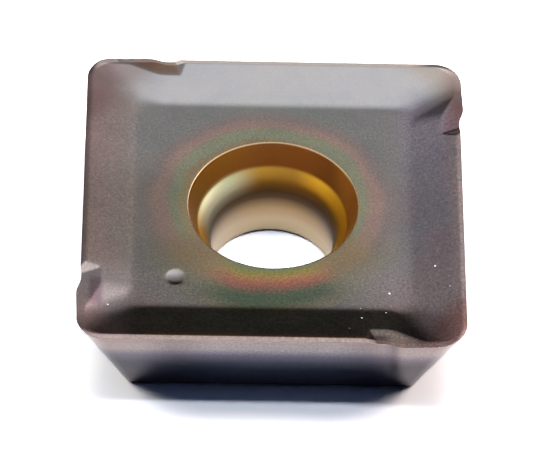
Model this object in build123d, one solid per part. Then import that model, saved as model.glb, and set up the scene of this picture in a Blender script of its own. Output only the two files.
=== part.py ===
"""Square carbide milling insert, screwed down through its middle, with four corners to index.

Millimetres, +Z up. The origin is the middle of the flat seat face, and the cutting edges are on top.
Every edge carries one wiper corner at its first end, seen along the edge with the insert on the right.
A side is modelled once, on the -X side of the insert, and patterned four times about Z.
On that side u runs inwards (+X) from the cutting edge and v runs along it (+Y) from the sharp corner.
"""

from build123d import *
from math import cos, radians, sin, tan
import os

# Body
inscribed_circle = 12.70        # across opposite cutting edges
thickness = 3.97                # seat face to the crest of the cutting edges
clearance_angle = 20.6          # flanks lean in towards the seat face, in degrees
nose_radius = 1.00              # corner radius at the cutting edge
heel_radius = 0.35              # corner radius at the seat face
seat_edge_break = 0.05          # chamfer around the seat face

# Edge land: a narrow negative chamfer along the cutting edges
land_width = 0.16
land_drop = 0.04

# Rake: a band that falls inwards from the crest to the flat floor
floor_depth = 0.38              # floor below the crest
rake_width = 1.76               # cutting edge to the foot of the band
foot_radius = 1.20              # hollow between the band and the floor

# Wiper corner
wiper_drop = 0.12               # flat wiper ledge below the crest
wiper_proud_nose = 0.11         # how far the wiper stands out, beside the nose
wiper_proud_heel = 0.15         # how far it stands out where its ramp starts
wiper_end = 2.00                # corner to the start of the ramp
ramp_end = 2.80                 # corner to where the ramp meets the main edge
notch_start = 2.90              # corner to the foot of the step up to the main edge
notch_rise_angle = 19.0         # slope of that step, in degrees
notch_skew = 24.0               # the step runs inwards at this angle, in degrees
heel_wiper_end = 0.50           # the wiper flank's width at the seat face
heel_ramp_end = 0.95            # the ramp flank's end at the seat face

# Corner pocket: near the nose the rake band droops and runs on lower
droop_start = 2.45              # corner to where the band starts to fall
droop_angle = 6.5               # in degrees
pocket_depth = 0.13             # how far the band ends up below its full height

# Screw hole
rim_radius = 2.84               # at the floor
rim_break = 0.04                # chamfer on the rim
cone_half_angle = 20.5          # steep upper wall, in degrees from the axis
cone_depth = 0.83               # below the floor
seat_half_angle = 45.0          # where the screw's head bears, in degrees from the axis
seat_hollow_radius = 0.24       # hollow between the cone and the seat
seat_flat = 0.03                # straight stretch left between that hollow and the rounding into the bore
bore_radius = 2.05
bore_relief = 0.12              # chamfer where the bore opens in the seat face

# Index mark: a small round dimple in the floor by one corner
mark_x = -3.23
mark_y = -3.31
mark_radius = 0.34
mark_depth = 0.05

half_width = inscribed_circle / 2
edge_height = thickness - land_drop
floor_height = thickness - floor_depth
ledge_height = thickness - wiper_drop
rake_slope = floor_depth / (rake_width - land_width)
spare = 1.0                     # how far cutting shapes reach past what they cut
parallel_limit = 1e-6           # sine of the angle below which two edges count as parallel


def outline(height, half, radius, proud_nose, proud_heel, wiper, ramp):
    """Closed wire at one height: at each corner a nose arc, a wiper, a ramp and a straight main edge."""
    arc_centre = Vector(radius - half - proud_nose, radius - half, height)
    nose_start = arc_centre + Vector(0, -radius)
    nose_middle = arc_centre + Vector(-radius * cos(radians(45)), -radius * sin(radians(45)))
    nose_end = arc_centre + Vector(-radius, 0)
    wiper_heel = Vector(-half - proud_heel, wiper - half, height)
    ramp_heel = Vector(-half, ramp - half, height)
    ramp_middle = (wiper + ramp) / 2 - half
    ramp_out = Vector(wiper_heel.X, ramp_middle, height)
    ramp_in = Vector(ramp_heel.X, ramp_middle, height)
    next_nose = nose_start.rotate(Axis.Z, -90)
    side = [
        Edge.make_three_point_arc(nose_start, nose_middle, nose_end),
        Edge.make_line(nose_end, wiper_heel),
        Edge.make_bezier(wiper_heel, ramp_out, ramp_in, ramp_heel),
        Edge.make_line(ramp_heel, next_nose),
    ]
    return Wire([edge.rotate(Axis.Z, -90 * turn) for turn in range(4) for edge in side])


def strip(lower, upper):
    """The face between two matching edges: flat where they are parallel lines, ruled where they aren't."""
    straight = lower.geom_type == upper.geom_type == GeomType.LINE
    if straight and (lower % 0).cross(upper % 0).length < parallel_limit:
        return Face(Wire.make_polygon([lower @ 0, lower @ 1, upper @ 1, upper @ 0]))
    return Face.make_surface_from_curves(lower, upper)


def blank():
    """The ground block: leaning flanks with their wipers, then the narrow land up to the crest."""
    heel_half = half_width - (edge_height - seat_edge_break) * tan(radians(clearance_angle))
    seat_half = heel_half - seat_edge_break
    crest_half = half_width - land_width
    seat = outline(0, seat_half, heel_radius, 0, 0, heel_wiper_end, heel_ramp_end)
    heel = outline(seat_edge_break, heel_half, heel_radius, 0, 0, heel_wiper_end, heel_ramp_end)
    edge = outline(edge_height, half_width, nose_radius, wiper_proud_nose, wiper_proud_heel, wiper_end, ramp_end)
    crest = outline(
        thickness,
        crest_half,
        nose_radius - land_width,
        wiper_proud_nose,
        wiper_proud_heel,
        wiper_end - land_width,
        ramp_end - land_width,
    )
    levels = [seat, heel, edge, crest]
    walls = [
        strip(lower_edge, upper_edge)
        for lower, upper in zip(levels, levels[1:])
        for lower_edge, upper_edge in zip(lower.edges(), upper.edges())
    ]
    return Solid(Shell([Face(seat), *walls, Face(crest)]))


def band(drop):
    """One rake band as a long bar, lowered by drop: flat crest, falling rake and the hollow at its foot."""
    foot_u = rake_width - drop / rake_slope - half_width
    crest_u = land_width - half_width
    crest_z = thickness - drop
    outside = -half_width - spare
    rake_line = FilletPolyline(
        (crest_u, crest_z),
        (foot_u, floor_height),
        (foot_u + spare, floor_height),
        radius=foot_radius,
    )
    closing = Polyline(
        (foot_u + spare, floor_height),
        (foot_u + spare, 0),
        (outside, 0),
        (outside, crest_z),
        (crest_u, crest_z),
    )
    profile = Plane.XZ * make_face([*rake_line.edges(), *closing.edges()])
    return extrude(profile, half_width + spare, both=True)


def above(origin, normal):
    """A large block that fills the space above a sloping plane."""
    reach = 2 * inscribed_circle
    return extrude(Plane(origin=origin, x_dir=(1, 0, 0), z_dir=normal) * Rectangle(reach, reach), thickness)


def drooping_band():
    """The rake band at full height, tipped down over its end by the nose, with the lower band under it."""
    tip_point = (land_width - half_width, droop_start - half_width, thickness)
    droop = tan(radians(droop_angle))
    upper = band(0) - above(tip_point, (rake_slope, -droop, 1))
    lower = band(pocket_depth)
    return upper + split(lower, Plane.XZ.offset(half_width - droop_start), keep=Keep.TOP)


def wiper_cut():
    """Everything above the flat wiper ledge, up to the skewed step that climbs to the main edge."""
    rise = wiper_drop + spare
    step_run = rise / tan(radians(notch_rise_angle))
    reach = half_width
    side_view = Plane.YZ * make_face(
        Polyline(
            (-reach, ledge_height),
            (0, ledge_height),
            (step_run, ledge_height + rise),
            (-reach, ledge_height + rise),
            close=True,
        )
    )
    cut = extrude(side_view, reach, both=True).rotate(Axis.Z, notch_skew)
    return Pos(-half_width, notch_start - half_width, 0) * cut


def side():
    """One side of the chip former: the rake band with its pocket, its wiper ledge and its step."""
    return drooping_band() - wiper_cut()


def chip_former():
    """The pressed top: a flat floor with a rising band along each side."""
    reach = inscribed_circle + 4 * spare
    floor = Box(reach, reach, floor_height, align=(Align.CENTER, Align.CENTER, Align.MIN))
    return floor + [side().rotate(Axis.Z, -90 * turn) for turn in range(4)]


def screw_hole():
    """The hole's shape: relief, bore, rounded seat for a conical head, steep cone and rim."""
    cone_foot_radius = rim_radius - cone_depth * tan(radians(cone_half_angle))
    seat_width = cone_foot_radius - bore_radius
    seat_drop = seat_width / tan(radians(seat_half_angle))
    hollow_reach = seat_hollow_radius * tan(radians(seat_half_angle - cone_half_angle) / 2)
    rounding_reach = seat_width / sin(radians(seat_half_angle)) - hollow_reach - seat_flat
    rounding_radius = rounding_reach / tan(radians(seat_half_angle) / 2)
    seat_line = FilletPolyline(
        (rim_radius, floor_height - rim_break),
        (cone_foot_radius, floor_height - cone_depth),
        (bore_radius, floor_height - cone_depth - seat_drop),
        (bore_radius, bore_relief),
        radius=[seat_hollow_radius, rounding_radius],
    )
    closing = Polyline(
        (bore_radius, bore_relief),
        (bore_radius + bore_relief + spare, -spare),
        (0, -spare),
        (0, thickness + spare),
        (rim_radius + rim_break + spare, floor_height + spare),
        (rim_radius, floor_height - rim_break),
    )
    profile = Plane.XZ * make_face([*seat_line.edges(), *closing.edges()])
    return revolve(profile, Axis.Z)


def index_mark():
    """The ball that presses the dimple into the floor."""
    ball_radius = (mark_radius**2 + mark_depth**2) / (2 * mark_depth)
    return Pos(mark_x, mark_y, floor_height - mark_depth + ball_radius) * Sphere(ball_radius)


def insert():
    """The whole insert, one solid."""
    body = blank() & chip_former()
    return body - screw_hole() - index_mark()


if __name__ == "__main__":
    os.makedirs("parts", exist_ok=True)
    export_step(insert(), "parts/insert_body.step")
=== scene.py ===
"""A coated carbide milling insert with its finish, on a plain white floor.

Lengths are in millimetres, and become metres where a mesh or the camera is made. The camera looks
from -Y and above. The insert's skin is one net of rings about the hole's axis. It starts at the
cutting edge and runs inwards over the chip former, the floor, the hole and the seat face, and then
up the flanks.
"""

import math

import bmesh
import bpy
import numpy as np
from mathutils import Matrix, Vector


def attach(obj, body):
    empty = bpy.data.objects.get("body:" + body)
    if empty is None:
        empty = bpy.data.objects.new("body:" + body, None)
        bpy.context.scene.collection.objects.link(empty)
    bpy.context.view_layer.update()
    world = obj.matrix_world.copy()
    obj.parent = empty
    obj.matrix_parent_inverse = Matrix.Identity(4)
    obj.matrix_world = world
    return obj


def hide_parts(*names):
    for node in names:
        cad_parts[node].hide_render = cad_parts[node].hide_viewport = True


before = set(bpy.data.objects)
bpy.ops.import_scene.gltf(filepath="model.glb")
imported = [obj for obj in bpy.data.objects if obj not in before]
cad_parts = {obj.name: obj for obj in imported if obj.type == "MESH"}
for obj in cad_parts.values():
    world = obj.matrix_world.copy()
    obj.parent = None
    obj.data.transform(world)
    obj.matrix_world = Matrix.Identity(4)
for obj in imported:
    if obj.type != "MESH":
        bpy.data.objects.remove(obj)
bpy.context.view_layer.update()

MM = 0.001

# ---------------------------------------------------------------- form, as in the CAD
HALF = 6.35
THICKNESS = 3.97
EDGE_Z = 3.93
FLOOR_Z = 3.59
LEDGE_Z = 3.85
CLEARANCE = math.radians(20.6)
NOSE_R = 1.00
HEEL_R = 0.35
SEAT_BREAK = 0.05
LAND_WIDTH = 0.16
LAND_SLOPE = 0.25
RAKE_SLOPE = 0.38 / 1.60
PROUD_NOSE = 0.11
PROUD_HEEL = 0.15
WIPER_END = 2.00
RAMP_END = 2.80
HEEL_WIPER_END = 0.50
HEEL_RAMP_END = 0.95
STEP_START = 2.90
STEP_SLOPE = math.tan(math.radians(19.0))
STEP_SKEW = math.radians(24.0)
DROOP_START = 2.45
DROOP_SLOPE = math.tan(math.radians(6.5))
POCKET_DEPTH = 0.13
RIM_R = 2.84
RIM_BREAK = 0.04
CONE_ANGLE = math.radians(20.5)
CONE_DEPTH = 0.83
SEAT_ANGLE = math.radians(45.0)
HOLLOW_R = 0.24
SEAT_FLAT = 0.03
BORE_R = 2.05
RELIEF = 0.12
MARK = (-3.23, -3.31)
MARK_R = 0.34
MARK_DEPTH = 0.05

# How far apart in height two surfaces of the pressed top begin to run into each other
DROOP_BLEND = 0.03
STEP_BLEND = 0.05
LEDGE_BLEND = 0.010
CORNER_BLEND = 0.20
CREST_BLEND = 0.02
FOOT_BLEND = 0.034
LAND_BLEND = 0.012
MARK_BLEND = 0.005

# Where a point counts as on a wiper ledge or its step: how far inwards and how near in height,
# and over what height and distance the finish of the ledge and of the step fades in
LEDGE_REACH = 1.5
LEDGE_CATCH = 0.03
LEDGE_FADE = 0.05
RISER_FADE = 0.06

# Fine roundings in the hole, where the CAD has sharp edges. The one on the rim turns a corner
# that lies RIM_INSET outside the rim, and aims RIM_AIM down the cone
RIM_HONE = 0.05
RIM_INSET = 0.006
RIM_AIM = 0.2
RELIEF_HONE = 0.05
MOUTH_HONE = 0.04

# A height that no part of the top reaches, and how often the edge's height is worked out anew
FAR_ABOVE = 10.0
EDGE_PASSES = 12


# ---------------------------------------------------------------- height of the pressed top
def soft_max(a, b, blend):
    """The greater of two heights, rounded where they are less than blend apart."""
    overlap = np.maximum(0.0, blend - np.abs(a - b)) / blend
    return np.maximum(a, b) + overlap * overlap * blend / 4


def soft_min(a, b, blend):
    """The lesser of two heights, rounded where they are less than blend apart."""
    return -soft_max(-a, -b, blend)


def local(x, y, turn):
    """A point seen from one side: u inwards from its main edge, v along it from its wiper corner."""
    for _ in range(turn):
        x, y = -y, x
    return x + HALF, y + HALF


def band_height(u, drop):
    """Height of a side's rake band, lowered by drop."""
    return THICKNESS - RAKE_SLOPE * np.maximum(0.0, u - LAND_WIDTH) - drop


def past_step_foot(u, v):
    """How far a point lies past the foot of the skewed step, square to it."""
    return ((v - STEP_START) - u * math.tan(STEP_SKEW)) * math.cos(STEP_SKEW)


def side_height(u, v):
    """Height of one side's band with its droop, its wiper ledge and its step."""
    drop = soft_max(DROOP_SLOPE * (DROOP_START - v), np.zeros_like(v), DROOP_BLEND)
    drop = soft_min(drop, np.full_like(v, POCKET_DEPTH), DROOP_BLEND)
    climb = soft_max(past_step_foot(u, v), np.zeros_like(v), STEP_BLEND)
    return soft_min(band_height(u, drop), LEDGE_Z + STEP_SLOPE * climb, LEDGE_BLEND)


def ledge_shares(x, y, height):
    """How far a point lies on a wiper ledge, and on the step at the ledge's end."""
    ledge = np.zeros_like(x)
    riser = np.zeros_like(x)
    for turn in range(4):
        u, v = local(x, y, turn)
        past = past_step_foot(u, v)
        band = band_height(u, np.clip(DROOP_SLOPE * (DROOP_START - v), 0, POCKET_DEPTH))
        step = LEDGE_Z + STEP_SLOPE * np.maximum(past, 0.0)
        caught = (np.abs(height - step) < LEDGE_CATCH) & (u < LEDGE_REACH)
        here = np.clip((band - step) / LEDGE_FADE, 0, 1) * caught
        ledge = np.maximum(ledge, here)
        riser = np.maximum(riser, here * np.clip(past / RISER_FADE, 0, 1))
    return ledge, riser


def proud_at(v):
    """How far the outline stands out past the main edge, along one side."""
    wiper = PROUD_NOSE + (PROUD_HEEL - PROUD_NOSE) * (v - NOSE_R) / (WIPER_END - NOSE_R)
    t = np.clip((v - WIPER_END) / (RAMP_END - WIPER_END), 0, 1)
    ramp = PROUD_HEEL * (1 - t * t * (3 - 2 * t))
    return np.where(v < WIPER_END, wiper, ramp)


def edge_distance(x, y):
    """How far a point lies inside the outline, near the outline."""
    nearest = np.full_like(x, np.inf)
    centre_u = NOSE_R - PROUD_NOSE
    centre_v = NOSE_R
    for turn in range(4):
        u, v = local(x, y, turn)
        nearest = np.minimum(nearest, u + proud_at(v))
        by_nose = (u < centre_u) & (v < centre_v)
        from_nose = NOSE_R - np.hypot(u - centre_u, v - centre_v)
        nearest = np.where(by_nose, np.minimum(nearest, from_nose), nearest)
    return nearest


def dimple_height(x, y):
    """Height of the ball that presses the index mark, and far above the top away from it."""
    ball = (MARK_R**2 + MARK_DEPTH**2) / (2 * MARK_DEPTH)
    off_square = (x - MARK[0]) ** 2 + (y - MARK[1]) ** 2
    height = FLOOR_Z - MARK_DEPTH + ball - np.sqrt(np.maximum(ball**2 - off_square, 0))
    return np.where(off_square < (2 * MARK_R) ** 2, height, FAR_ABOVE)


def top_height(x, y):
    """Height of the whole pressed top."""
    sides = [side_height(*local(x, y, turn)) for turn in range(4)]
    height = sides[0]
    for other in sides[1:]:
        height = soft_max(height, other, CORNER_BLEND)
    height = soft_min(height, np.full_like(x, THICKNESS), CREST_BLEND)
    height = soft_max(height, np.full_like(x, FLOOR_Z), FOOT_BLEND)
    height = soft_min(height, EDGE_Z + LAND_SLOPE * edge_distance(x, y), LAND_BLEND)
    return soft_min(height, dimple_height(x, y), MARK_BLEND)


# ---------------------------------------------------------------- outline
def spaced(count, first_step, last_step):
    """count parameters from 0 to just below 1, whose steps grow from first_step to last_step."""
    ends = np.concatenate([[0], np.cumsum(np.linspace(first_step, last_step, count))])
    return ends[:-1] / ends[-1]


# Parameters of the points on each side: EVEN along the nose, the wiper and the ramp, and along
# the main edge as many again on its first share, by the ramp, and wider steps after that
EVEN = np.arange(26) / 26
BY_RAMP = 0.09
MAIN_EDGE = np.concatenate([BY_RAMP * EVEN, BY_RAMP + (1 - BY_RAMP) * spaced(36, 0.3, 1.7)])


def outline_side(half, radius, proud_nose, proud_heel, wiper_end, ramp_end):
    """Points along one side at one height: nose arc, wiper, ramp and main edge."""
    arc_centre = np.array([radius - half - proud_nose, radius - half])
    angle = -math.pi / 2 * (1 + EVEN)
    nose = arc_centre + radius * np.stack([np.cos(angle), np.sin(angle)], 1)
    nose_end = arc_centre - np.array([radius, 0])
    wiper_heel = np.array([-half - proud_heel, wiper_end - half])
    ramp_heel = np.array([-half, ramp_end - half])
    ramp_middle = (wiper_end + ramp_end) / 2 - half
    ramp_out = np.array([wiper_heel[0], ramp_middle])
    ramp_in = np.array([ramp_heel[0], ramp_middle])
    next_nose = np.array([-half, half - radius + proud_nose])
    t = EVEN[:, None]
    wiper = nose_end + (wiper_heel - nose_end) * t
    ramp = (1 - t) ** 3 * wiper_heel + 3 * (1 - t) ** 2 * t * ramp_out
    ramp = ramp + 3 * (1 - t) * t**2 * ramp_in + t**3 * ramp_heel
    main = ramp_heel + (next_nose - ramp_heel) * MAIN_EDGE[:, None]
    return np.concatenate([nose, wiper, ramp, main])


def outline(*sizes):
    """Points round the whole insert at one height."""
    side = outline_side(*sizes)
    sides = []
    for _ in range(4):
        sides.append(side)
        side = np.stack([side[:, 1], -side[:, 0]], 1)
    return np.concatenate(sides)


HEEL_HALF = HALF - (EDGE_Z - SEAT_BREAK) * math.tan(CLEARANCE)
EDGE_XY = outline(HALF, NOSE_R, PROUD_NOSE, PROUD_HEEL, WIPER_END, RAMP_END)
HEEL_XY = outline(HEEL_HALF, HEEL_R, 0, 0, HEEL_WIPER_END, HEEL_RAMP_END)
SEAT_XY = outline(HEEL_HALF - SEAT_BREAK, HEEL_R, 0, 0, HEEL_WIPER_END, HEEL_RAMP_END)


def on_flank(z):
    """The flank's points at height z, which may differ from point to point."""
    share = (z - SEAT_BREAK) / (EDGE_Z - SEAT_BREAK)
    return HEEL_XY + (EDGE_XY - HEEL_XY) * share[:, None]


def edge_ring():
    """The cutting edge, where the flanks' lines meet the pressed top."""
    z = np.full(len(EDGE_XY), EDGE_Z)
    for _ in range(EDGE_PASSES):
        xy = on_flank(z)
        z = top_height(xy[:, 0], xy[:, 1])
    return on_flank(z), z


# ---------------------------------------------------------------- hole profile
def fillet(before, corner, after, radius, count):
    """Points of an arc of that radius that rounds the corner between two straight lines."""
    to_before = (before - corner) / np.linalg.norm(before - corner)
    to_after = (after - corner) / np.linalg.norm(after - corner)
    half_angle = math.acos(np.clip(to_before @ to_after, -1, 1)) / 2
    reach = radius / math.tan(half_angle)
    middle = (to_before + to_after) / np.linalg.norm(to_before + to_after)
    centre = corner + middle * radius / math.sin(half_angle)
    start = corner + to_before * reach - centre
    end = corner + to_after * reach - centre
    start_angle = math.atan2(start[1], start[0])
    end_angle = math.atan2(end[1], end[0])
    turn = (end_angle - start_angle + math.pi) % (2 * math.pi) - math.pi
    angle = start_angle + turn * np.linspace(0, 1, count)
    return centre + radius * np.stack([np.cos(angle), np.sin(angle)], 1)


def between(start, end, count):
    """Points on the straight line between two others, without its ends."""
    return start + (end - start) * np.linspace(0, 1, count + 2)[1:-1, None]


def hole_profile():
    """Radius and height down the hole, from just inside the rim to the seat face."""
    cone_foot = RIM_R - CONE_DEPTH * math.tan(CONE_ANGLE)
    seat_width = cone_foot - BORE_R
    seat_drop = seat_width / math.tan(SEAT_ANGLE)
    hollow_reach = HOLLOW_R * math.tan((SEAT_ANGLE - CONE_ANGLE) / 2)
    round_reach = seat_width / math.sin(SEAT_ANGLE) - hollow_reach - SEAT_FLAT
    round_r = round_reach / math.tan(SEAT_ANGLE / 2)

    floor_end = np.array([RIM_R + RIM_BREAK, FLOOR_Z])
    rim_corner = np.array([RIM_R + RIM_INSET, FLOOR_Z])
    rim = np.array([RIM_R, FLOOR_Z - RIM_BREAK])
    below_rim = rim - RIM_AIM * np.array([math.tan(CONE_ANGLE), 1])
    foot = np.array([cone_foot, FLOOR_Z - CONE_DEPTH])
    neck = np.array([BORE_R, FLOOR_Z - CONE_DEPTH - seat_drop])
    low = np.array([BORE_R, RELIEF])
    mouth = np.array([BORE_R + RELIEF, 0])
    seat_face = np.array([HALF, 0])

    rim_arc = fillet(floor_end, rim_corner, below_rim, RIM_HONE, count=6)
    hollow = fillet(rim, foot, neck, HOLLOW_R, count=9)
    bend = fillet(foot, neck, low, round_r, count=22)
    relief_arc = fillet(neck, low, mouth, RELIEF_HONE, count=4)
    mouth_arc = fillet(low, mouth, seat_face, MOUTH_HONE, count=4)
    cone = between(rim_arc[-1], hollow[0], count=6)
    bore = between(bend[-1], low, count=6)
    return np.concatenate([rim_arc, cone, hollow, bend, bore, relief_arc, mouth_arc])


# ---------------------------------------------------------------- the net of rings
# Parts of the surface with a finish of their own: the honed edge, the flanks, the flat wiper
# ledges with their steps, and the steps alone
ZONES = ("hone", "flank", "ledge", "riser")
# Where the rings lie, close together where the surface turns
LAND_OFFSETS = [0.0, 0.008, 0.02, 0.045, 0.08, 0.115, 0.138, 0.150, 0.160, 0.170, 0.182, 0.205]
RAKE_OFFSETS = [*np.arange(0.24, 0.92, 0.034), *np.arange(0.92, 2.12, 0.06)]
FLOOR_RINGS = 32
SEAT_FACE_SHARES = (0.15, 0.35, 0.6, 0.82, 0.95, 0.99)
FLANK_SHARES = (0.0, 0.006, 0.02, 0.05, 0.1, *np.linspace(0.17, 0.92, 14), 0.96, 0.98, 0.992, 0.997)
# The middle ring of the seat's broken edge, below half its height, which rounds it
SEAT_BREAK_SHARE = 0.45
# Where the hone ends on the land, in mm from the edge, and where it starts up the flank
LAND_HONE_FADE = (0.145, 0.175)
FLANK_HONE_FADE = (0.985, 0.996)
# How strongly the edge is honed where it is less than EDGE_MARGIN above the wiper ledges
LEDGE_HONE = 0.25
EDGE_MARGIN = 0.02


def build_net():
    """The insert's rings of points, and the share of every point in each zone of the surface."""
    edge_xy, edge_z = edge_ring()
    count = len(edge_xy)
    outward = edge_xy / np.linalg.norm(edge_xy, axis=1)[:, None]
    full_hone = np.where(edge_z > LEDGE_Z + EDGE_MARGIN, 1.0, LEDGE_HONE)
    rings = []
    zones = {name: [] for name in ZONES}

    def add(xy, z, **shares):
        """One more ring, with its share in the zones that are named."""
        rings.append(np.column_stack([xy, np.broadcast_to(z, count)]))
        for name in ZONES:
            zones[name].append(np.broadcast_to(shares.get(name, 0.0), count))

    # chip former: copies of the edge, shrunk by an offset
    for offset in LAND_OFFSETS + RAKE_OFFSETS:
        at_edge = offset == 0
        xy = edge_xy * (1 - offset / HALF)
        z = edge_z if at_edge else top_height(xy[:, 0], xy[:, 1])
        hone = np.interp(offset, LAND_HONE_FADE, (1, 0)) * full_hone
        ledge, riser = ledge_shares(xy[:, 0], xy[:, 1], z)
        add(xy, z, hone=hone, flank=float(at_edge), ledge=ledge, riser=riser)
    # floor: from that square shape to the round hole
    profile = hole_profile()
    band_end = edge_xy * (1 - RAKE_OFFSETS[-1] / HALF)
    to_hole = outward * profile[0, 0] - band_end
    for share in np.linspace(0, 1, FLOOR_RINGS + 2)[1:-1]:
        xy = band_end + to_hole * share
        add(xy, top_height(xy[:, 0], xy[:, 1]))
    for radius, height in profile:
        add(outward * radius, height)
    # seat face and its broken edge
    bore_xy = outward * profile[-1, 0]
    for share in SEAT_FACE_SHARES:
        add(bore_xy + (SEAT_XY - bore_xy) * share, 0.0)
    add(SEAT_XY, 0.0)
    add((SEAT_XY + HEEL_XY) / 2, SEAT_BREAK * SEAT_BREAK_SHARE)
    # flanks up to the cutting edge
    for share in FLANK_SHARES:
        z = SEAT_BREAK + (edge_z - SEAT_BREAK) * share
        hone = np.interp(share, FLANK_HONE_FADE, (0, 1)) * full_hone
        add(on_flank(z), z, hone=hone, flank=1.0)
    return np.array(rings), zones


def insert_skin():
    """The insert's mesh: a closed net of quads, with its zones as attributes of the points."""
    net, zones = build_net()
    rows, count, _ = net.shape
    this = np.arange(count)
    following = (this + 1) % count
    faces = []
    for row in range(rows):
        start = row * count
        next_start = (row + 1) % rows * count
        corners = [start + this, next_start + this, next_start + following, start + following]
        faces.append(np.stack(corners, 1))
    faces = np.concatenate(faces)
    mesh = bpy.data.meshes.new("insert_skin")
    mesh.vertices.add(rows * count)
    mesh.vertices.foreach_set("co", (net * MM).astype(np.float32).ravel())
    mesh.loops.add(faces.size)
    mesh.loops.foreach_set("vertex_index", faces.astype(np.int32).ravel())
    mesh.polygons.add(len(faces))
    mesh.polygons.foreach_set("loop_start", np.arange(0, faces.size, 4, dtype=np.int32))
    mesh.polygons.foreach_set("loop_total", np.full(len(faces), 4, np.int32))
    mesh.update(calc_edges=True)
    mesh.validate()
    mesh.polygons.foreach_set("use_smooth", np.ones(len(faces), bool))
    for name, shares in zones.items():
        attribute = mesh.attributes.new(name, "FLOAT", "POINT")
        attribute.data.foreach_set("value", np.array(shares, np.float32).ravel())
    edit = bmesh.new()
    edit.from_mesh(mesh)
    bmesh.ops.recalc_face_normals(edit, faces=edit.faces)
    edit.to_mesh(mesh)
    edit.free()
    skin = bpy.data.objects.new("insert_skin", mesh)
    bpy.context.scene.collection.objects.link(skin)
    return skin


# ---------------------------------------------------------------- node trees
class Field:
    """A number, colour or place that varies over a surface. Arithmetic on it adds math nodes."""

    def __init__(self, nodes, socket):
        self.nodes = nodes
        self.socket = socket

    def __add__(self, other):
        return self.nodes.math("ADD", self, other)

    def __sub__(self, other):
        return self.nodes.math("SUBTRACT", self, other)

    def __rsub__(self, other):
        return self.nodes.math("SUBTRACT", other, self)

    def __mul__(self, other):
        return self.nodes.math("MULTIPLY", self, other)

    def __truediv__(self, other):
        return self.nodes.math("DIVIDE", self, other)

    def __neg__(self):
        return self.nodes.math("MULTIPLY", self, -1.0)

    def __abs__(self):
        return self.nodes.math("ABSOLUTE", self, 0.0)

    def most(self, other):
        """The greater of the two."""
        return self.nodes.math("MAXIMUM", self, other)

    def below(self, other):
        """1 where this is less than the other, and 0 elsewhere."""
        return self.nodes.math("LESS_THAN", self, other)

    def step(self, start, end):
        """0 before start and 1 past end, with a smooth rise between. End may be the lower."""
        node = self.nodes.add("ShaderNodeMapRange", interpolation_type="SMOOTHSTEP")
        self.nodes.put(node.inputs["Value"], self)
        node.inputs["From Min"].default_value = start
        node.inputs["From Max"].default_value = end
        return self.nodes.field(node, "Result")

    def split(self):
        """The three parts of a place or a colour."""
        node = self.nodes.add("ShaderNodeSeparateXYZ")
        self.nodes.put(node.inputs[0], self)
        return [self.nodes.field(node, axis) for axis in "XYZ"]


class Nodes:
    """Shorthand for building one node tree."""

    def __init__(self, tree):
        self.tree = tree
        tree.nodes.clear()

    def add(self, kind, **settings):
        node = self.tree.nodes.new(kind)
        for name, value in settings.items():
            setattr(node, name, value)
        return node

    def field(self, node, output=0):
        return Field(self, node.outputs[output])

    def put(self, socket, value):
        """Gives a socket a field, a number or a colour of three parts."""
        if isinstance(value, Field):
            self.tree.links.new(value.socket, socket)
        elif isinstance(value, tuple):
            socket.default_value = (*value, 1.0)
        else:
            socket.default_value = value

    def math(self, operation, a, b, clamp=False):
        node = self.add("ShaderNodeMath", operation=operation, use_clamp=clamp)
        self.put(node.inputs[0], a)
        self.put(node.inputs[1], b)
        return self.field(node)

    def mix(self, share, first, second, blend="MIX"):
        """The first colour, with a share of the second. 6, 7 and 2 are the node's colour sockets."""
        node = self.add("ShaderNodeMix", data_type="RGBA", blend_type=blend)
        self.put(node.inputs[0], share)
        self.put(node.inputs[6], first)
        self.put(node.inputs[7], second)
        return self.field(node, 2)

    def tinted(self, colour, zone, tint):
        """The colour, multiplied by a tint inside a zone."""
        return self.mix(zone, colour, self.mix(1.0, colour, tint, "MULTIPLY"))

    def all_tinted(self, colour, tints):
        """The colour, multiplied by each tint of a list inside its zone."""
        for zone, tint in tints:
            colour = self.tinted(colour, zone, tint)
        return colour

    def ramp(self, value, stops):
        """A colour that runs through the stops, each a position from 0 to 1 and its colour."""
        node = self.add("ShaderNodeValToRGB")
        elements = node.color_ramp.elements
        elements.remove(elements[-1])
        elements[0].position = stops[0][0]
        elements[0].color = (*stops[0][1], 1.0)
        for position, colour in stops[1:]:
            elements.new(position).color = (*colour, 1.0)
        self.put(node.inputs[0], value)
        return self.field(node)


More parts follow.
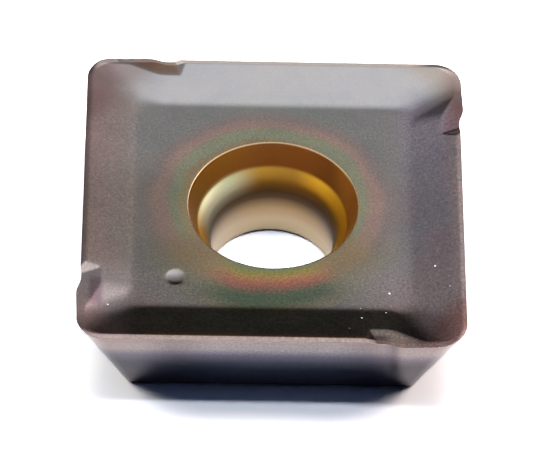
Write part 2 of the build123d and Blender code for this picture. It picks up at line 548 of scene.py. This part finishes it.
class SurfaceNodes(Nodes):
    """The insert's node tree, with the place on the surface in millimetres."""

    def __init__(self, tree):
        super().__init__(tree)
        scaled = self.add("ShaderNodeVectorMath", operation="SCALE")
        self.put(scaled.inputs[0], self.field(self.add("ShaderNodeTexCoord"), "Object"))
        scaled.inputs["Scale"].default_value = 1 / MM
        self.place = self.field(scaled)
        self.x, self.y, self.z = self.place.split()
        self.radius = self.math("SQRT", self.x * self.x + self.y * self.y, 0.0)
        self.depth = FLOOR_Z - self.z
        self.wobble = self.noise(scale=0.55, detail=2.0, roughness=0.5) - 0.5
        self.blotch = self.noise(scale=0.75, detail=5.0, roughness=0.6, distortion=0.4)
        self.grain = self.noise(scale=12.0, detail=3.0, roughness=0.7)
        self.ledge = self.zone("ledge")
        self.riser = self.zone("riser")
        self.at_left = self.x.step(0.5, -0.5)
        self.at_right = self.x.step(-0.5, 0.5)
        self.at_front = self.y.step(0.5, -0.5)
        self.at_back = self.y.step(-0.5, 0.5)
        self.left_corner = self.x.step(-4.3, -5.0) * self.y.step(-2.8, -3.6)
        self.in_mark = self.near((*MARK, FLOOR_Z), outer=MARK_R + 0.03, inner=MARK_R - 0.03)
        past_rim = self.radius.step(RIM_R, RIM_R + RIM_BREAK)
        self.in_hole = (1.0 - past_rim) * self.depth.step(-0.02, 0.01)

    def zone(self, name):
        """The mesh's own share in one of its zones."""
        return self.field(self.add("ShaderNodeAttribute", attribute_name=name), "Fac")

    def near(self, centre, outer, inner):
        """1 within the inner distance from a place, and 0 past the outer one."""
        node = self.add("ShaderNodeVectorMath", operation="DISTANCE")
        self.put(node.inputs[0], self.place)
        node.inputs[1].default_value = centre
        return self.field(node, "Value").step(outer, inner)

    def noise(self, scale, detail, roughness, distortion=0.0):
        node = self.add("ShaderNodeTexNoise")
        self.put(node.inputs["Vector"], self.place)
        node.inputs["Scale"].default_value = scale
        node.inputs["Detail"].default_value = detail
        node.inputs["Roughness"].default_value = roughness
        node.inputs["Distortion"].default_value = distortion
        return self.field(node, "Fac")

    def specks(self, scale, rarity, size):
        """Round specks, only in those cells, 1 / scale across, whose random number is over rarity."""
        cells = self.add("ShaderNodeTexVoronoi")
        self.put(cells.inputs["Vector"], self.place)
        cells.inputs["Scale"].default_value = scale
        number = self.field(cells, "Color").split()[0]
        return self.field(cells, "Distance").below((number - rarity) * size)


def srgb(red, green, blue):
    """A linear colour from display values of 0 to 255."""
    shares = [value / 255 for value in (red, green, blue)]
    return tuple(c / 12.92 if c <= 0.04045 else ((c + 0.055) / 1.055) ** 2.4 for c in shares)


# ---------------------------------------------------------------- the coating
FILM = srgb(115, 112, 111)
LEAF = srgb(104, 113, 88)
SAGE = srgb(119, 121, 102)
MOSS = srgb(82, 90, 76)
OLIVE = srgb(123, 116, 67)
AMBER = srgb(142, 112, 73)
BRICK = srgb(144, 94, 78)
UMBER = srgb(128, 88, 78)
SAND = srgb(134, 118, 92)
TAN = srgb(122, 105, 83)
KHAKI = srgb(114, 106, 92)
ROSE = srgb(136, 113, 105)
MAUVE = srgb(119, 107, 104)
ASH = srgb(113, 112, 109)
# The honed edge: a darker copy on the -Y edge is painted shade, a lighter copy on the +Y edge a painted
# highlight
HONE_SHADED_FRONT = srgb(134, 118, 113)
HONE_LIT_BACK = srgb(202, 186, 176)
# The index mark's rim towards -Y is in painted shade, the rest in a grey near the film's
MARK_SHADED_FRONT = srgb(76, 64, 58)
MARK_BACK = srgb(114, 108, 106)
DUST = (0.75, 0.75, 0.75)

# The film's rings on four parts of the floor: the radius of each colour
RINGS_START = 2.8
RINGS_END = 5.2
FRONT_RINGS = (
    (2.9, LEAF),
    (3.1, OLIVE),
    (3.27, AMBER),
    (3.5, BRICK),
    (3.72, UMBER),
    (4.02, MOSS),
    (4.4, MOSS),
    (4.8, KHAKI),
)
CORNER_RINGS = ((2.9, TAN), (3.7, TAN), (4.2, KHAKI))
SIDE_RINGS = ((2.9, SAND), (3.15, SAGE), (3.45, ROSE), (3.75, ROSE), (4.05, MAUVE))
BACK_RINGS = ((2.9, TAN), (3.1, SAGE), (3.35, SAGE), (3.65, ROSE), (4.0, MAUVE), (4.4, ASH))

# The film down the hole, by depth below the floor as a share of HOLE_SPAN: the broken rim, the cone,
# the hollow and the seat, the dark rounding into the bore, and the bore. The dark on the rounding is
# painted shade. The seat's lighter gold is partly the coating and partly a painted highlight. In the
# second table the seat is whitish, which is a painted highlight.
HOLE_SPAN = 3.6
GOLD_HOLE = (
    (0.0, (0.38, 0.25, 0.14)),
    (0.02, (0.28, 0.112, 0.025)),
    (0.21, (0.26, 0.100, 0.022)),
    (0.25, (0.36, 0.190, 0.028)),
    (0.30, (0.35, 0.180, 0.028)),
    (0.44, (0.066, 0.038, 0.018)),
    (0.51, (0.062, 0.035, 0.016)),
    (0.66, (0.28, 0.185, 0.095)),
    (0.80, (0.38, 0.29, 0.18)),
)
PALE_HOLE = (
    (0.0, (0.38, 0.25, 0.14)),
    (0.02, (0.27, 0.122, 0.020)),
    (0.20, (0.27, 0.122, 0.020)),
    (0.25, (0.40, 0.38, 0.23)),
    (0.34, (0.58, 0.59, 0.46)),
    (0.45, (0.078, 0.045, 0.018)),
    (0.51, (0.074, 0.042, 0.017)),
    (0.66, (0.29, 0.21, 0.125)),
    (0.78, (0.38, 0.30, 0.20)),
)

# The film up the flanks, from the seat face to the cutting edge. On the -Y flank the bands are a
# painted reflection of the floor's shadow: light near the edge, dark low down. The other flanks are
# plainer and darker towards the bottom.
FRONT_FLANK_PAINTED_REFLECTION = (
    (0.0, (0.14, 0.10, 0.12)),
    (0.28, (0.135, 0.15, 0.19)),
    (0.50, (0.075, 0.075, 0.105)),
    (0.65, (0.165, 0.14, 0.19)),
    (0.79, (0.43, 0.37, 0.355)),
    (0.89, (0.41, 0.33, 0.30)),
    (1.0, (0.30, 0.225, 0.21)),
)
OTHER_FLANKS = (
    (0.0, (0.22, 0.20, 0.225)),
    (0.55, (0.23, 0.21, 0.235)),
    (0.80, (0.32, 0.28, 0.29)),
    (1.0, (0.32, 0.26, 0.25)),
)

# The +X band's tint from -Y to +Y: partly the film's lavender, partly painted shade up to the middle
# and painted light towards +Y
BAND_SPAN = 12.0
RIGHT_BAND = ((0.20, (0.83, 0.86, 0.90)), (0.5, (0.79, 0.75, 0.86)), (0.80, (1.11, 1.01, 1.22)))

# Light and dark in the coating, by the height of two noises
BLOTCH_TONES = ((0.30, (0.92, 0.94, 0.97)), (0.5, (1.0, 1.0, 1.0)), (0.70, (1.07, 1.04, 1.02)))
GRAIN_TONES = ((0.25, (0.60, 0.60, 0.62)), (0.5, (1.0, 1.0, 1.0)), (0.77, (1.55, 1.53, 1.48)))


def ring_colours(n):
    """The film's rings of colour round the hole, strongest on its -Y side."""
    speckle = n.noise(scale=17.0, detail=2.0, roughness=0.7) - 0.5
    waver = n.wobble * 0.45 + speckle * 0.55 + n.x * 0.045
    ring_span = RINGS_END - RINGS_START
    ring = (n.radius + waver - RINGS_START) / ring_span

    def rings(stops):
        inner = [((radius - RINGS_START) / ring_span, colour) for radius, colour in stops]
        return n.ramp(ring, [*inner, (1.0, FILM)])

    toward_back = n.y / n.radius.most(0.5)
    colour = rings(SIDE_RINGS)
    colour = n.mix(toward_back.step(-0.10, 0.75), colour, rings(BACK_RINGS))
    colour = n.mix(toward_back.step(-0.25, -0.65), colour, rings(CORNER_RINGS))
    return n.mix(toward_back.step(-0.78, -0.97), colour, rings(FRONT_RINGS))


def band_tints_and_painted_shade(n):
    """Zones of the floor and the rake bands, with a tint in each. By the cutting edges the film turns
    redder, and the +X band has its own tint. The darker zones towards -X, over the front and left bands
    and at the +X end of the front band are painted shade. The corner at -X and -Y is painted light, and
    the floor is darker towards -Y.
    """
    ragged = n.wobble * 0.9
    # Painted shade towards -X and over the front and left rake bands; the floor is darker towards -Y
    painted_left_shade = n.x.step(-1.6, -4.0) * n.y.step(2.6, 0.2) * 0.74
    front_floor = n.y.step(-3.1, -4.3) * abs(n.x).step(4.6, 2.2)
    front_band = n.y.step(-4.5, -4.9) * abs(n.x).step(5.2, 4.4)
    left_band = n.x.step(-4.3, -5.0) * n.y.step(5.2, 4.4) * n.y.step(-3.3, -2.3)
    right_band = n.x.step(3.9, 4.8) * n.x.step(6.3, 5.6) * n.y.step(5.1, 4.1)
    right_film = n.ramp(n.y / BAND_SPAN + 0.5, RIGHT_BAND)
    # ragged zones along the cutting edges, where the film turns redder
    to_left = (ragged - n.x).step(4.3, 6.2)
    to_right = (ragged + n.x).step(5.5, 6.4)
    to_front = (ragged - n.y).step(5.4, 6.3)
    to_corner = (n.radius * n.y.step(1.0, -1.5) + ragged).step(4.3, 6.3)
    by_edge = to_left.most(to_right).most(to_front.most(to_corner))
    # a patch of painted shade over the +X end of the front band
    beyond = (n.x + n.y + ragged).step(1.35, 0.0)
    painted_shade_patch = beyond * n.y.step(-4.2, -5.1) * n.x.step(3.5, 4.5) * n.radius.step(8.5, 7.6)
    return (
        (painted_left_shade, (0.62, 0.66, 0.62)),
        (front_floor, (0.72, 0.76, 0.72)),
        (front_band, (0.73, 0.79, 0.70)),
        (by_edge, (1.10, 0.89, 0.90)),
        (left_band, (0.87, 0.81, 0.77)),
        # painted light on the corner at -X and -Y
        (n.left_corner, (1.10, 1.15, 1.18)),
        (right_band, right_film),
        (painted_shade_patch * n.ledge.step(1.0, 0.0), (0.54, 0.51, 0.52)),
    )


def corner_painted_light_and_shade(n):
    """Zones of the noses, the wiper ledges and their steps, with a tint in each that paints light and
    shade. The darker tints are painted shade, some of them browner, and the lighter ones painted light.
    A thin line behind the front land turns redder and lighter.
    """
    ragged_radius = n.radius + n.wobble * 0.9
    nose = ragged_radius.step(7.1, 8.1)
    wide_nose = ragged_radius.step(6.6, 7.7)
    flat_ledge = n.ledge - n.riser
    back_left = n.at_left * n.at_back
    back_right = n.at_right * n.at_back
    front_left = n.at_left * n.at_front
    front_right = n.at_right * n.at_front
    ledge_end = flat_ledge * front_right * n.x.step(4.0, 3.5) * n.y.step(-5.85, -6.05)
    # A soft blob of painted shade in the hollow by the step at +X and +Y
    painted_shade_by_step = n.near((5.05, 4.65, 3.8), outer=1.1, inner=0.0)
    left_stripe = n.x.step(-6.14, -5.96) * n.x.step(-5.52, -5.72)
    left_stripe = left_stripe * n.y.step(-4.95, -4.5) * n.y.step(-3.45, -3.8)
    front_line = n.y.step(-5.95, -6.10) * n.y.step(-6.24, -6.15)
    front_line = front_line * abs(n.x).step(4.4, 3.6) * n.ledge.step(0.5, 0.0)
    return (
        (wide_nose * back_left, (0.74, 0.66, 0.65)),
        (nose * back_right, (0.93, 0.85, 0.76)),
        (nose * front_right, (0.83, 0.60, 0.54)),
        (nose * front_left, (1.25, 1.02, 1.00)),
        (flat_ledge * back_left, (1.02, 0.68, 0.52)),
        (flat_ledge * back_right, (0.87, 0.70, 0.75)),
        (n.riser * back_right, (1.48, 1.24, 1.12)),
        (n.riser * front_right, (0.42, 0.36, 0.38)),
        (n.riser * front_left, (1.20, 1.20, 1.15)),
        (flat_ledge * front_right, (1.22, 1.14, 1.12)),
        (ledge_end, (0.45, 0.38, 0.40)),
        (painted_shade_by_step, (0.80, 0.79, 0.84)),
        (left_stripe, (0.70, 0.58, 0.66)),
        (front_line, (1.9, 1.15, 0.95)),
    )


def flank_colours(n):
    """The film up the flanks: on the -Y one, bands of painted reflection of the floor's shadow; plainer
    on the others; and painted shade away from X = 0.
    """
    up = n.z / EDGE_Z
    on_front = (-n.y - abs(n.x)).step(-0.7, -0.1)
    colour = n.mix(on_front, n.ramp(up, OTHER_FLANKS), n.ramp(up, FRONT_FLANK_PAINTED_REFLECTION))
    # Painted shade towards the ends of each flank, away from X = 0
    return n.tinted(colour, abs(n.x).step(1.8, 3.4), (0.63, 0.57, 0.57))


def hole_colours(n):
    """Gold on the cone and the seat and a plainer beige in the bore, with painted shade on the rounding
    into the bore, a pale painted highlight towards -X at the back and painted highlights towards +X.
    """
    down = n.depth / HOLE_SPAN
    # Towards -X at the back the seat turns whitish: a painted highlight
    is_pale = n.x.step(-0.3, -1.8) * n.y.step(-0.6, 0.9)
    colour = n.mix(is_pale, n.ramp(down, GOLD_HOLE), n.ramp(down, PALE_HOLE))
    on_rim = down.step(0.018, 0.008)
    on_cone = down.step(0.235, 0.205)
    on_seat = down.step(0.215, 0.245) * down.step(0.38, 0.31)
    # Painted highlights on the cone, the rim and the seat towards +X
    brighter = (
        (on_cone * n.x.step(1.9, 2.6), (2.1, 2.2, 1.9)),
        (on_rim * n.x.step(0.0, 1.5), (1.35, 1.5, 1.6)),
        (on_seat * n.x.step(0.6, 1.8), (2.1, 2.15, 1.05)),
    )
    colour = n.all_tinted(colour, brighter)
    # Dims the seat's painted highlight a little between X = -2 and X = -0.2
    return n.tinted(colour, on_seat * n.x.step(-0.2, -0.9) * n.x.step(-2.0, -1.5), (0.85, 0.93, 0.93))


def hone_share(n):
    """How much of the coating is honed off along the edges on the +Y and -Y sides."""
    less_at_corners = abs(n.x).step(4.6, 5.6) * -0.7 + 1.0
    return n.zone("hone") * abs(n.y).step(5.7, 6.2) * less_at_corners


def grain_share(n):
    """How strong the grain is: faint on the band along +Y, in the mark and in the hole."""
    share = n.x.step(4.1, 4.8) * 0.35 + n.x.step(-4.4, -5.0) * 0.15 + n.y.step(-2.6, -3.6) * 0.35 + 0.55
    fainter = ((n.y.step(3.4, 5.0), 0.8), (n.left_corner, 0.55), (n.in_hole.most(n.in_mark), 0.8))
    for zone, loss in fainter:
        share = share * (zone * -loss + 1.0)
    return share


def dust_share(n):
    """A few specks of dust on the insert, with finer ones by the corner at +X and -Y."""
    coarse = n.specks(scale=1.3, rarity=0.86, size=0.42)
    fine = n.specks(scale=2.4, rarity=0.80, size=0.45)
    fine = fine * n.x.step(2.2, 3.2) * n.y.step(-3.2, -4.0)
    return coarse.most(fine) * n.radius.step(2.9, 3.0)


def coated_carbide():
    """The insert's material: carbide with a thin satin coating that shows film colours, with light and
    shade painted into its colour on the bands, the corners, the flanks, the hole and the edges.
    """
    material = bpy.data.materials.new("coated_carbide_skin")
    material.use_nodes = True
    n = SurfaceNodes(material.node_tree)
    hone = hone_share(n)
    dust = dust_share(n)

    colour = n.all_tinted(ring_colours(n), band_tints_and_painted_shade(n) + corner_painted_light_and_shade(n))
    colour = n.mix(n.zone("flank"), colour, flank_colours(n))
    colour = n.tinted(colour, 1.0, n.ramp(n.blotch, BLOTCH_TONES))
    colour = n.mix(n.in_hole, colour, hole_colours(n))
    # Honed edges, in painted shade towards -Y and painted light towards +Y
    colour = n.mix(hone * 0.85, colour, n.mix(n.y.step(-1.0, 1.0), HONE_SHADED_FRONT, HONE_LIT_BACK))
    # The index mark, with painted shade on its rim towards -Y
    colour = n.mix(n.in_mark, colour, n.mix(n.y.step(-3.62, -3.42), MARK_SHADED_FRONT, MARK_BACK))
    colour = n.tinted(colour, grain_share(n), n.ramp(n.grain, GRAIN_TONES))
    colour = n.mix(dust, colour, DUST)

    roughness = (n.blotch - 0.5) * 0.06 + (n.grain - 0.5) * 0.10 + hone * 0.30 + 0.22
    roughness = roughness + n.in_hole * n.depth.step(0.04, 0.10) * 0.24

    bump = n.add("ShaderNodeBump")
    bump.inputs["Strength"].default_value = 0.12
    bump.inputs["Distance"].default_value = 0.004 * MM
    n.put(bump.inputs["Height"], n.grain)

    shader = n.add("ShaderNodeBsdfPrincipled")
    n.put(shader.inputs["Base Color"], colour)
    n.put(shader.inputs["Metallic"], 1.0 - dust)
    n.put(shader.inputs["Roughness"], roughness)
    n.put(shader.inputs["Normal"], n.field(bump))
    n.put(n.add("ShaderNodeOutputMaterial").inputs["Surface"], n.field(shader))
    return material


# ---------------------------------------------------------------- the insert
insert = insert_skin()
insert.data.materials.append(coated_carbide())
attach(insert, "root")
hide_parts("insert_body")


# ---------------------------------------------------------------- floor
def floor_material():
    """White to the camera and in reflections, and grey where its light would reach the insert."""
    material = bpy.data.materials.new("floor")
    material.use_nodes = True
    n = Nodes(material.node_tree)
    path = n.add("ShaderNodeLightPath")
    seen = n.math("ADD", n.field(path, "Is Camera Ray"), n.field(path, "Is Glossy Ray"), clamp=True)
    direct = n.field(path, "Diffuse Depth").below(0.5)
    diffuse = n.add("ShaderNodeBsdfDiffuse")
    n.put(diffuse.inputs["Color"], n.mix(seen * direct, (0.2, 0.2, 0.2), (1.8, 1.8, 1.8)))
    n.put(n.add("ShaderNodeOutputMaterial").inputs["Surface"], n.field(diffuse))
    return material


bpy.ops.mesh.primitive_plane_add(size=0.8, location=(0, 0, 0))
floor = bpy.context.object
floor.name = "floor"
floor.data.materials.append(floor_material())

# ---------------------------------------------------------------- the studio that the coating mirrors
# Brightness of the sky by degrees above the horizon, beyond the insert and on the camera's side
FAR_SKY = (
    (0, (0.7, 0.7, 0.7)),
    (8, (0.5, 0.5, 0.5)),
    (14, (0.06, 0.06, 0.06)),
    (18, (0.02, 0.02, 0.02)),
    (25, (0.025, 0.025, 0.022)),
    (31, (0.20, 0.19, 0.18)),
    (38, (0.86, 0.86, 0.87)),
    (48, (0.96, 0.97, 0.98)),
    (56, (1.7, 1.78, 1.85)),
    (64, (2.5, 2.65, 2.8)),
    (70, (2.9, 3.0, 3.15)),
)
NEAR_SKY = (
    (0, (0.5, 0.5, 0.5)),
    (12, (0.9, 0.9, 0.9)),
    (50, (1.0, 1.0, 1.0)),
    (64, (1.2, 1.25, 1.3)),
    (74, (2.0, 2.1, 2.2)),
    (90, (2.6, 2.8, 3.05)),
)
HIGH_WINDOW = (3.2, 3.2, 3.2)
LOW_WINDOW = (3.0, 3.0, 3.0)
WHITE = (1.0, 1.0, 1.0)


def studio_world():
    """A soft sky that only reflections see, brighter towards +X. The camera sees plain white."""
    world = bpy.data.worlds.new("studio")
    world.use_nodes = True
    world.cycles_visibility.diffuse = False
    n = Nodes(world.node_tree)
    across, along, high = n.field(n.add("ShaderNodeTexCoord"), "Generated").split()
    toward_zenith = n.math("ARCSINE", high, 0.0) / (math.pi / 2)
    near_sky = n.ramp(toward_zenith, [(angle / 90, colour) for angle, colour in NEAR_SKY])
    far_sky = n.ramp(toward_zenith, [(angle / 90, colour) for angle, colour in FAR_SKY])
    sky = n.mix(along.step(-0.25, 0.25), near_sky, far_sky)
    far_side = along.step(-0.05, 0.20)
    sky = n.mix(across.step(0.20, 0.50) * high.step(0.60, 0.76) * far_side, sky, HIGH_WINDOW)
    sky = n.mix(across.step(0.42, 0.70) * high.step(0.05, 0.30) * far_side, sky, LOW_WINDOW)
    path = n.add("ShaderNodeLightPath")
    direct = n.field(path, "Diffuse Depth").below(0.5)
    mirrored = n.add("ShaderNodeBackground")
    n.put(mirrored.inputs["Color"], sky)
    n.put(mirrored.inputs["Strength"], (across.most(0.0) * 1.1 + 1.0) * direct)
    plain = n.add("ShaderNodeBackground")
    n.put(plain.inputs["Color"], WHITE)
    either = n.add("ShaderNodeMixShader")
    n.put(either.inputs[0], n.field(path, "Is Camera Ray"))
    n.put(either.inputs[1], n.field(mirrored))
    n.put(either.inputs[2], n.field(plain))
    n.put(n.add("ShaderNodeOutputWorld").inputs["Surface"], n.field(either))
    return world


bpy.context.scene.world = studio_world()

# ---------------------------------------------------------------- lamps, which light the floor
LAMP_HEIGHT = 0.30
# Each softbox's angles off the vertical towards +X and -Y, its half angles along X and Y, in
# degrees, and its brightness
SOFTBOXES = {
    "softbox_cool": (0, 11.4, 22, 1.2, (0.28, 0.295, 0.33)),
    "softbox_top": (0, -5.5, 14, 7, (0.40, 0.39, 0.38)),
    "softbox_left": (-38, -3.5, 8, 8, (0.35, 0.34, 0.335)),
    "softbox_right": (38, -3.5, 8, 8, (0.42, 0.37, 0.355)),
    "softbox_back": (0, -38, 20, 8, (0.02, 0.02, 0.022)),
    "softbox_front": (0, 18, 20, 7.5, (0.012, 0.019, 0.040)),
}


def tan_degrees(angle):
    return math.tan(math.radians(angle))


def softbox(name, toward_right, toward_front, half_right, half_front, light):
    """A rectangle of light that faces the insert and doesn't show in reflections."""
    away = Vector((tan_degrees(toward_right), -tan_degrees(toward_front), 1)).normalized()
    distance = LAMP_HEIGHT / away.z
    strongest = max(light)
    lamp = bpy.data.lights.new(name, "AREA")
    lamp.shape = "RECTANGLE"
    lamp.size = 2 * distance * tan_degrees(half_right)
    lamp.size_y = 2 * distance * tan_degrees(half_front)
    lamp.color = [channel / strongest for channel in light]
    lamp.energy = strongest * (math.pi * distance) ** 2 / away.z
    box = bpy.data.objects.new(name, lamp)
    bpy.context.scene.collection.objects.link(box)
    side = Vector((0, 1, 0)).cross(away).normalized()
    facing = Matrix((side, away.cross(side), away)).transposed().to_4x4()
    box.matrix_world = Matrix.Translation(away * distance) @ facing
    box.visible_glossy = False


for softbox_name, settings in SOFTBOXES.items():
    softbox(softbox_name, *settings)

# ---------------------------------------------------------------- camera
IMAGE_WIDTH = 540
SENSOR_WIDTH = 36
AZIMUTH = -0.0257
ELEVATION = 0.8339
ROLL = 0.0361
DISTANCE = 160.1
PIXELS_PER_MM = 29.922
OFF_RIGHT = 0.110
OFF_UP = 1.2435


def add_camera():
    """The camera, aimed near the middle of the cutting edges from DISTANCE away."""
    outward = Vector((math.sin(AZIMUTH), -math.cos(AZIMUTH), 0))
    back = outward * math.cos(ELEVATION) + Vector((0, 0, math.sin(ELEVATION)))
    level_right = Vector((math.cos(AZIMUTH), math.sin(AZIMUTH), 0))
    level_up = back.cross(level_right)
    right = math.cos(ROLL) * level_right + math.sin(ROLL) * level_up
    up = math.cos(ROLL) * level_up - math.sin(ROLL) * level_right
    lens = bpy.data.cameras.new("camera")
    lens.sensor_fit = "HORIZONTAL"
    lens.sensor_width = SENSOR_WIDTH
    lens.lens = PIXELS_PER_MM * DISTANCE / IMAGE_WIDTH * SENSOR_WIDTH
    lens.clip_start = 0.01
    lens.clip_end = 10
    camera = bpy.data.objects.new("camera", lens)
    bpy.context.scene.collection.objects.link(camera)
    pose = Matrix((right, up, back)).transposed().to_4x4()
    middle = Vector((0, 0, EDGE_Z))
    pose.translation = (middle + back * DISTANCE - right * OFF_RIGHT - up * OFF_UP) * MM
    camera.matrix_world = pose
    return camera


bpy.context.scene.camera = add_camera()
bpy.context.scene.view_settings.view_transform = "Standard"
